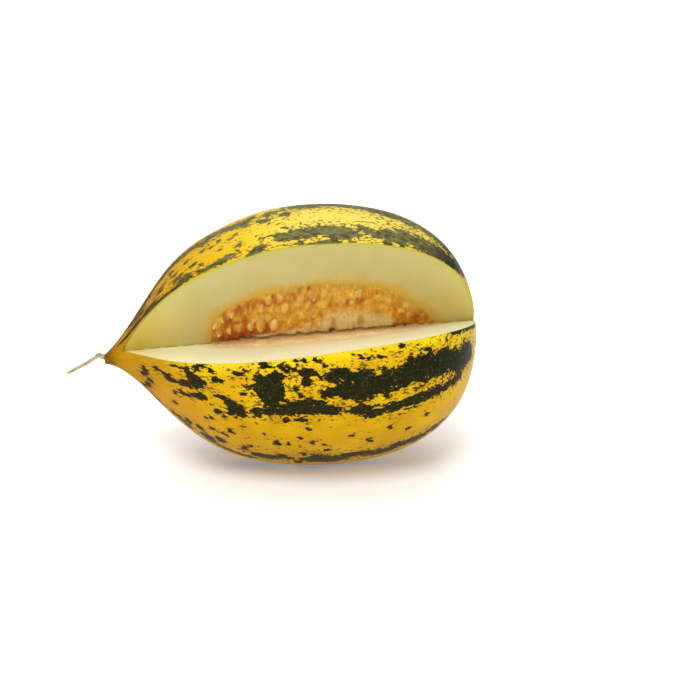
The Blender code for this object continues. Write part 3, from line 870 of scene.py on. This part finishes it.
def creviceAt(station, reach, upper):
    # the dark split along the apex, on the upper face alone
    first, opening, closing, last = pulp["creviceEnds"]
    along = smoothStep(first, opening, station) * (1 - smoothStep(closing, last, station))
    return along * np.exp(-((reach / pulp["creviceWidth"]) ** 2)) * upper


fineHollow = hollowOutline((60, 60, 60))
hollowStations = np.array([point.x for point in fineHollow])
hollowRadii = np.array([point.y for point in fineHollow])


def roomInHollow(station, reach, upper):
    # how far inside the hollow's wall a place on a knife face is
    across, rise = apexAt(station)
    bearing = np.where(upper, cutBearing(station, True), cutBearing(station, False))
    y = across - reach * np.cos(bearing)
    z = rise + reach * np.sin(bearing) + spineDrop(station)
    wall = np.interp(station, hollowStations, hollowRadii, left=0, right=0) * lobeShare(np.arctan2(z, -y))
    return wall - np.hypot(y, z)


def seedPlaces():
    # named seeds first, then staggered rows on both faces wherever there is room between them
    draw = random.Random(seeds["draw"])
    places = []
    for upper in (True, False):
        for station, reach, turn, lean, size in namedSeeds[upper]:
            places.append((station, reach, upper, turn, lean, size, seeds["proud"]))
    for upper in (True, False):
        for row in range(seeds["rows"]):
            station = hollow["bluntArc"][0][0] + seeds["pitch"] / 2 * (1 + row % 2)
            while station < hollow["taperArc"][3][0]:
                spot = station + draw.uniform(-1, 1) * seeds["stray"][0]
                reach = seeds["firstRow"] + seeds["rowPitch"] * row + draw.uniform(-1, 1) * seeds["stray"][1]
                turn = draw.uniform(-1, 1) * seeds["turn"]
                lean = draw.uniform(-1, 1) * seeds["lean"]
                size = draw.uniform(0.72, 0.95)
                sunk = draw.uniform(*seeds["sunk"])
                roomy = roomInHollow(spot, reach + seeds["headroom"], upper) > seeds["margin"]
                beside = [place for place in places if place[2] == upper]
                gaps = [math.hypot(spot - place[0], reach - place[1]) for place in beside]
                if roomy and min(gaps) > seeds["apart"]:
                    places.append((spot, reach, upper, turn, lean, size, sunk))
                station += seeds["pitch"]
    return places


seedSpots = seedPlaces()


def cellDistance(station, reach, upper):
    # distance to the nearest seed's middle, in seeds' half-sizes
    nearest = np.full(station.shape, 9.0)
    for spot, row, side, turn, lean, size, sunk in seedSpots:
        along = (reach - row) * math.cos(turn) + (station - spot) * math.sin(turn)
        aside = -(reach - row) * math.sin(turn) + (station - spot) * math.cos(turn)
        away = np.hypot(along / (size * seeds["length"] / 2), aside / (size * seeds["width"] / 2 + 0.6))
        nearest = np.where(upper == side, np.minimum(nearest, away), nearest)
    return nearest


def lumpsAt(station, reach, upper):
    wide, long = pulp["strand"][1]
    spots = zip(station / wide, reach / long, np.where(upper, 7.0, 2.0))
    return np.array([noise.fractal(spot, 0.8, 2, 3) for spot in spots])


def pulpHeights(station, reach, upper):
    cell = cellDistance(station, reach, upper)
    pale = softPatch(station, reach, pulpPatches["pale"]) * upper
    creases = softPatch(station, reach, pulpPatches["creases"]) * upper
    folds = softPatch(station, reach, pulpPatches["folds"]) * upper
    pockets = softPatch(station, reach, pulpPatches["pockets"]) * upper
    fine = pulp["mound"] * (np.exp(-(cell**2)) - 0.6) * (1 - pale) + 0.5 * pale
    fine += pulp["strand"][0] * lumpsAt(station, reach, upper) * (1 - 0.75 * pale)
    fine *= np.where(upper, 1, 0.45 - 0.25 * smoothStep(95, 115, station))
    spots = (settled @ cutPlace(*spot) for spot in zip(station, reach, upper))
    room = np.array([hollowTree.find_nearest(spot)[3] for spot in spots]) / mm
    height = (swells(station, reach, upper) + fine) * smoothStep(0, pulp["edgeFade"], room)
    crevice = pulp["creviceDepth"] * creviceAt(station, reach, upper)
    shallow = pulp["foldDepth"] * np.maximum(folds, pockets)
    return height - np.maximum(np.maximum(crevice, shallow), pulp["creaseDepth"] * creases)


def paintPulp(mesh):
    station, reach, upper = paintCutPlaces(mesh)
    patches = {"pale": "pale", "deep": "deep", "crease": "creases", "fold": "folds", "pocket": "pockets"}
    for name, group in patches.items():
        paint(mesh, name, softPatch(station, reach, pulpPatches[group]) * upper)
    crevice = creviceAt(station, reach, upper)
    fromWall = depthUnder(mesh, hollowTree)
    paintAll(mesh, cell=cellDistance(station, reach, upper), crevice=crevice, fromWall=fromWall)


def pulpFinish():
    finish = Finish("wet seed pulp")
    place = finish.layerVector("cutPlace")
    upper, cell, pale, deep, fromWall = finish.layers("upper", "cell", "pale", "deep", "fromWall")
    crease, fold, pocket, crevice = finish.layers("crease", "fold", "pocket", "crevice")
    reach = finish.part(place, 1)
    cloudy = finish.cloud(place, 0.2, 3, 0.6, 0.5)
    fibres = finish.cloud(finish.stretched(place, (1, 0.22, 1)), 0.8, 3, 0.6)

    # gold with deeper orange between and beside the seeds, pale where it is clear gel; the darker orange
    # between the seeds is partly painted shade in the gaps
    golden = finish.ramp(
        cloudy, ((0.3, (0.70, 0.27, 0.004)), (0.5, (0.80, 0.40, 0.010)), (0.7, (0.86, 0.55, 0.04)))
    )
    golden = finish.blend((fibres - 0.5) * 1.1 + 0.14, golden, (0.92, 0.64, 0.12))
    reddish = finish.step(deep + (cloudy - 0.5) * 0.8, 0.25, 0.8)
    colour = finish.blend(reddish * 0.85, golden, (0.64, 0.165, 0.002))
    overSeed = 1 - finish.step(cell + (fibres - 0.5) * 0.6, 0.5, 1.15)
    colour = finish.blend(overSeed * 0.6, colour, (0.92, 0.62, 0.16))
    # partly painted shade: darker orange in the gaps between the seeds, partly the pulp's own tone
    between = finish.step(cell + (fibres - 0.5) * 1.6, 0.8, 1.8)
    colour = finish.blend(between * 0.7 * (0.3 + deep), colour, (0.46, 0.11, 0.003))
    comb = finish.cloud(finish.stretched(place, (1, 0.12, 1)), 0.3, 2, 0.5)
    colour = finish.blend(finish.step(comb, 0.5, 0.62) * (0.2 + 0.5 * deep), colour, (0.42, 0.10, 0.003))
    clear = finish.step(pale + (cloudy - 0.5) * 0.7, 0.2, 0.75)
    gel = finish.ramp(fibres, ((0.35, (0.82, 0.68, 0.32)), (0.65, (0.92, 0.83, 0.50))))
    colour = finish.blend(clear * 0.9, colour, gel)

    # the lower face is pale: rosy beside the apex, cream beyond
    beyond = finish.step(reach + (cloudy - 0.5) * 24, 8, 28)
    rosy = finish.blend(beyond, (0.95, 0.68, 0.31), (0.94, 0.89, 0.60))
    colour = finish.blend((1 - upper) * 0.92, colour, rosy)
    # painted shade: the shallow folds are coloured darker brown-orange
    colour = finish.blend(finish.step(fold, 0.2, 0.9) * 0.6, colour, (0.46, 0.26, 0.04))
    colour = softBorder(finish, place, upper, 0 - fromWall, colour, finish.blend(upper, *border["pale"]))
    # painted shade: the creases and the split along the apex are coloured dark brown
    opened = finish.add("ShaderNodeMath", {"operation": "MAXIMUM"}, {0: crease, 1: crevice * 1.3})
    creaseShade = finish.step(opened, 0.35, 0.95)
    colour = finish.blend(creaseShade * 0.85, colour, (0.20, 0.07, 0.006))
    # painted shade: the small pockets by the border are coloured dark brown
    colour = finish.blend(finish.step(pocket, 0.3, 0.9) * 0.75, colour, (0.36, 0.14, 0.006))
    relief = finish.bump(fibres, 0.5 * mm, 0.8)
    relief = finish.bump(finish.cloud(place, 1.6, 3, 0.6), 0.2 * mm, 0.7, relief)
    return finish.set(
        Base_Color=colour,
        Roughness=0.34 + (cloudy - 0.5) * 0.2,
        Normal=relief,
        Subsurface_Weight=0.4,
        Subsurface_Radius=(0.005, 0.0025, 0.0008),
        Subsurface_Scale=1.0,
        Coat_Weight=0.08,
        Coat_Roughness=0.15,
    )


scoop = pieceFrom(wedgeBody(*pulp["scoopSteps"], *pulp["scoopSpan"], pulpHeights), "scoop")
carve(pulpPiece, scoop)
drop(scoop)
paintPulp(pulpPiece.data)
print("pulp shaped")


def seedShape():
    bm = bmesh.new()
    bmesh.ops.create_uvsphere(bm, u_segments=12, v_segments=7, radius=0.5)
    bmesh.ops.rotate(bm, verts=bm.verts, matrix=Matrix.Rotation(math.pi / 2, 3, "Y"))
    for vert in bm.verts:
        taper = 1 - 0.55 * max(0, -vert.co.x) ** 1.3 - 0.1 * max(0, vert.co.x)
        vert.co.x *= seeds["length"]
        vert.co.y *= seeds["width"] * taper
        vert.co.z *= seeds["thickness"] * taper
    return bm


def makeSeeds():
    bm = bmesh.new()
    tint = bm.verts.layers.float.new("tint")
    draw = random.Random(seeds["draw"] + 1)
    single = bpy.data.meshes.new("seed")
    shape = seedShape()
    shape.to_mesh(single)
    shape.free()
    spots = np.array([place[:3] for place in seedSpots], float)
    heights = pulpHeights(spots[:, 0], spots[:, 1], spots[:, 2] > 0.5)
    for place, height in zip(seedSpots, heights):
        station, reach, upper, turn, lean, size, sunk = place
        along, outward = cutAxes(station, upper)
        facing = Matrix((along, outward.cross(along), outward)).transposed().to_4x4()
        at = Matrix.Translation(cutPlace(station, reach, upper, height - pulp["mound"] + sunk))
        posed = Matrix.Rotation(turn, 4, "Z") @ Matrix.Rotation(lean, 4, "Y") @ Matrix.Scale(size, 4)
        before = len(bm.verts)
        bm.from_mesh(single)
        bm.verts.ensure_lookup_table()
        fresh = bm.verts[before:]
        shade = draw.random() * 0.6 + (0.25 if sunk == seeds["proud"] else 0)
        for vert in fresh:
            vert[tint] = shade
        bmesh.ops.transform(bm, matrix=settled @ at @ facing @ posed, verts=fresh)
    bpy.data.meshes.remove(single)
    return pieceFrom(bm, "seeds")


def seedFinish():
    finish = Finish("wet cream seeds")
    place = finish.places()
    tint = finish.layer("tint")
    cloudy = finish.cloud(place, 420, 3, 0.5)
    colour = finish.ramp(
        tint * 0.7 + cloudy * 0.3,
        ((0.2, (0.78, 0.38, 0.02)), (0.5, (0.86, 0.52, 0.09)), (0.85, (0.93, 0.68, 0.25))),
    )
    relief = finish.bump(finish.cloud(place, 1600, 2, 0.5), 0.1 * mm, 0.5)
    return finish.set(
        Base_Color=colour,
        Roughness=0.26 + (cloudy - 0.5) * 0.12,
        Normal=relief,
        Subsurface_Weight=0.3,
        Subsurface_Radius=(0.003, 0.0018, 0.0008),
        Subsurface_Scale=1.0,
        Coat_Weight=0.2,
        Coat_Roughness=0.12,
    )


seedPiece = makeSeeds()
print("seeds set:", len(seedSpots))

# The dry stalk on the tip: a ridged, tapering stem with a knuckle near its foot

stem = {
    "route": (
        ((-1.0, 0, 1.9), 1.5),
        ((-2.7, 0, 2.1), 1.9),
        ((-3.5, 0, 2.25), 1.75),
        ((-5.0, -0.1, 3.4), 1.4),
        ((-7.8, -0.3, 1.6), 1.2),
        ((-13.4, -0.6, -1.8), 1.2),
        ((-19.2, -0.9, -4.6), 1.15),
        ((-26.2, -1.3, -7.9), 1.05),
    ),
    "sides": 30,
    "rings": 9,
    "ridges": (5, 0.09),
}


def makeStem():
    # the stalk's middle line comes from a smooth curve through the route's points
    curve = bpy.data.curves.new("stalk line", "CURVE")
    curve.dimensions = "3D"
    curve.resolution_u = stem["rings"]
    spline = curve.splines.new("BEZIER")
    spline.bezier_points.add(len(stem["route"]) - 1)
    base = Vector((-fruit["length"] / 2, 0, -spineDrop(0)))
    for point, (offset, thickness) in zip(spline.bezier_points, stem["route"]):
        point.co = base + Vector(offset)
        point.handle_left_type = point.handle_right_type = "AUTO"
    guide = bpy.data.objects.new("stalk line", curve)
    bpy.context.scene.collection.objects.link(guide)
    bpy.context.view_layer.update()
    line = [vert.co.copy() for vert in guide.to_mesh().vertices]
    guide.to_mesh_clear()
    drop(guide)

    ridges, ridgeShare = stem["ridges"]
    thick = [thickness for offset, thickness in stem["route"]]
    bm = bmesh.new()
    ring = bmesh.ops.create_circle(bm, segments=stem["sides"], radius=1)["verts"]
    edges = list({edge for vert in ring for edge in vert.link_edges})
    for i, centre in enumerate(line):
        ahead = (line[min(i + 1, len(line) - 1)] - line[max(i - 1, 0)]).normalized()
        facing = ahead.to_track_quat("Z", "Y").to_matrix()
        share = i / (len(line) - 1) * (len(thick) - 1)
        radius = np.interp(share, range(len(thick)), thick)
        radius *= 1 + 0.05 * noise.noise(centre / 2.2)
        if i:
            made = bmesh.ops.extrude_edge_only(bm, edges=edges)["geom"]
            ring = [part for part in made if isinstance(part, bmesh.types.BMVert)]
            edges = [part for part in made if isinstance(part, bmesh.types.BMEdge)]
            spokes = [(vert.co - lastCentre) for vert in ring]
            spokes = [lastFacing.transposed() @ spoke for spoke in spokes]
        else:
            spokes = [vert.co.copy() for vert in ring]
        for vert, spoke in zip(ring, spokes):
            turn = math.atan2(spoke.y, spoke.x)
            bulge = radius * (1 + ridgeShare * math.cos(ridges * turn + i * 0.05) - ridgeShare)
            vert.co = centre + facing @ Vector((math.cos(turn) * bulge, math.sin(turn) * bulge, 0))
        lastCentre, lastFacing = centre, facing
    bmesh.ops.holes_fill(bm, edges=[edge for edge in bm.edges if edge.is_boundary], sides=0)
    faceOutwards(bm)
    settle(bm)
    return pieceFrom(bm, "stalk")


def stemFinish():
    finish = Finish("dry stalk")
    place = finish.places()
    cloudy = finish.cloud(place, 260, 4, 0.6)
    fine = finish.cloud(place, 1500, 3, 0.6)
    colour = finish.ramp(
        cloudy, ((0.3, (0.26, 0.21, 0.08)), (0.5, (0.40, 0.37, 0.17)), (0.7, (0.52, 0.50, 0.28)))
    )
    relief = finish.bump(fine, 0.12 * mm, 0.8)
    return finish.set(Base_Color=colour, Roughness=0.62 + (fine - 0.5) * 0.2, Normal=relief)


stemPiece = makeStem()
print("stalk made")


def dress(thing, finish, node, sharpOver):
    thing.data.materials.clear()
    thing.data.materials.append(finish)
    smoothUnder(thing, sharpOver)
    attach(thing, "root")
    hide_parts(node)


dress(rindPiece, rindFinish(), "melon_body", 40)
dress(fleshPiece, fleshFinish(), "melon_body", 40)
dress(pulpPiece, pulpFinish(), "seed_pulp", 75)
sharpenRim(pulpPiece.data, depthUnder(pulpPiece.data, hollowTree))
dress(seedPiece, seedFinish(), "seed_pulp", 60)
dress(stemPiece, stemFinish(), "stem", 50)

# Studio: a pale floor, soft light from above and the photo's own view

studio = {
    "floorSize": 14,
    "floorColour": (0.9, 0.9, 0.9),
    "floorGlow": 0.25,
    "around": 0.4,
    "skyLight": (1.28, 65, (-0.1, 0.45, 1)),  # strength, softness in degrees, where it comes from
    "frontLight": (2.0, 30, (-0.25, -1, 1.35)),
}

view = {
    "turn": 3,
    "elevation": 16,
    "distance": 1.2,
    "focal": 1849 / 700 * 36,
    "offCentre": (0.0378, -0.0092),  # of the picture's middle from the rest point, right and up
}


def makeFloor():
    bm = bmesh.new()
    bmesh.ops.create_grid(bm, x_segments=1, y_segments=1, size=studio["floorSize"] / 2)
    floor = pieceFrom(bm, "floor")
    finish = Finish("pale floor")
    soft = finish.cloud(finish.places(), 3, 2, 0.5)
    colour = finish.blend(soft, studio["floorColour"], tuple(0.985 * part for part in studio["floorColour"]))
    finish.set(Base_Color=colour, Roughness=0.7)
    finish.set(Emission_Color=(1.0, 0.98, 0.96), Emission_Strength=studio["floorGlow"])
    floor.data.materials.append(finish.material)


def makeLight(name, strength, softness, source):
    lamp = bpy.data.lights.new(name, "SUN")
    lamp.energy = strength
    lamp.angle = math.radians(softness)
    thing = bpy.data.objects.new(name, lamp)
    bpy.context.scene.collection.objects.link(thing)
    thing.rotation_mode = "QUATERNION"
    thing.rotation_quaternion = Vector(source).to_track_quat("Z", "Y")


def makeCamera():
    turn, rise = math.radians(view["turn"]), math.radians(view["elevation"])
    back = Vector((-math.sin(turn) * math.cos(rise), -math.cos(turn) * math.cos(rise), math.sin(rise)))
    right = Vector((math.cos(turn), -math.sin(turn), 0))
    up = back.cross(right)
    spot = -restPoint
    place = spot + back * view["distance"]
    aim = spot + right * view["offCentre"][0] + up * view["offCentre"][1]
    back = (place - aim).normalized()
    right = up.cross(back).normalized()
    up = back.cross(right)
    lens = bpy.data.cameras.new("camera")
    lens.lens = view["focal"]
    lens.sensor_width = 36
    lens.clip_start, lens.clip_end = 0.05, 20
    camera = bpy.data.objects.new("camera", lens)
    bpy.context.scene.collection.objects.link(camera)
    camera.matrix_world = Matrix.Translation(place) @ Matrix((right, up, back)).transposed().to_4x4()
    bpy.context.scene.camera = camera


makeFloor()
makeLight("sky light", *studio["skyLight"])
makeLight("front light", *studio["frontLight"])
world = bpy.data.worlds.new("studio")
world.use_nodes = True
world.node_tree.nodes["Background"].inputs["Color"].default_value = (1, 1, 1, 1)
world.node_tree.nodes["Background"].inputs["Strength"].default_value = studio["around"]
bpy.context.scene.world = world
bpy.context.scene.view_settings.view_transform = "Standard"
makeCamera()
print("studio ready")
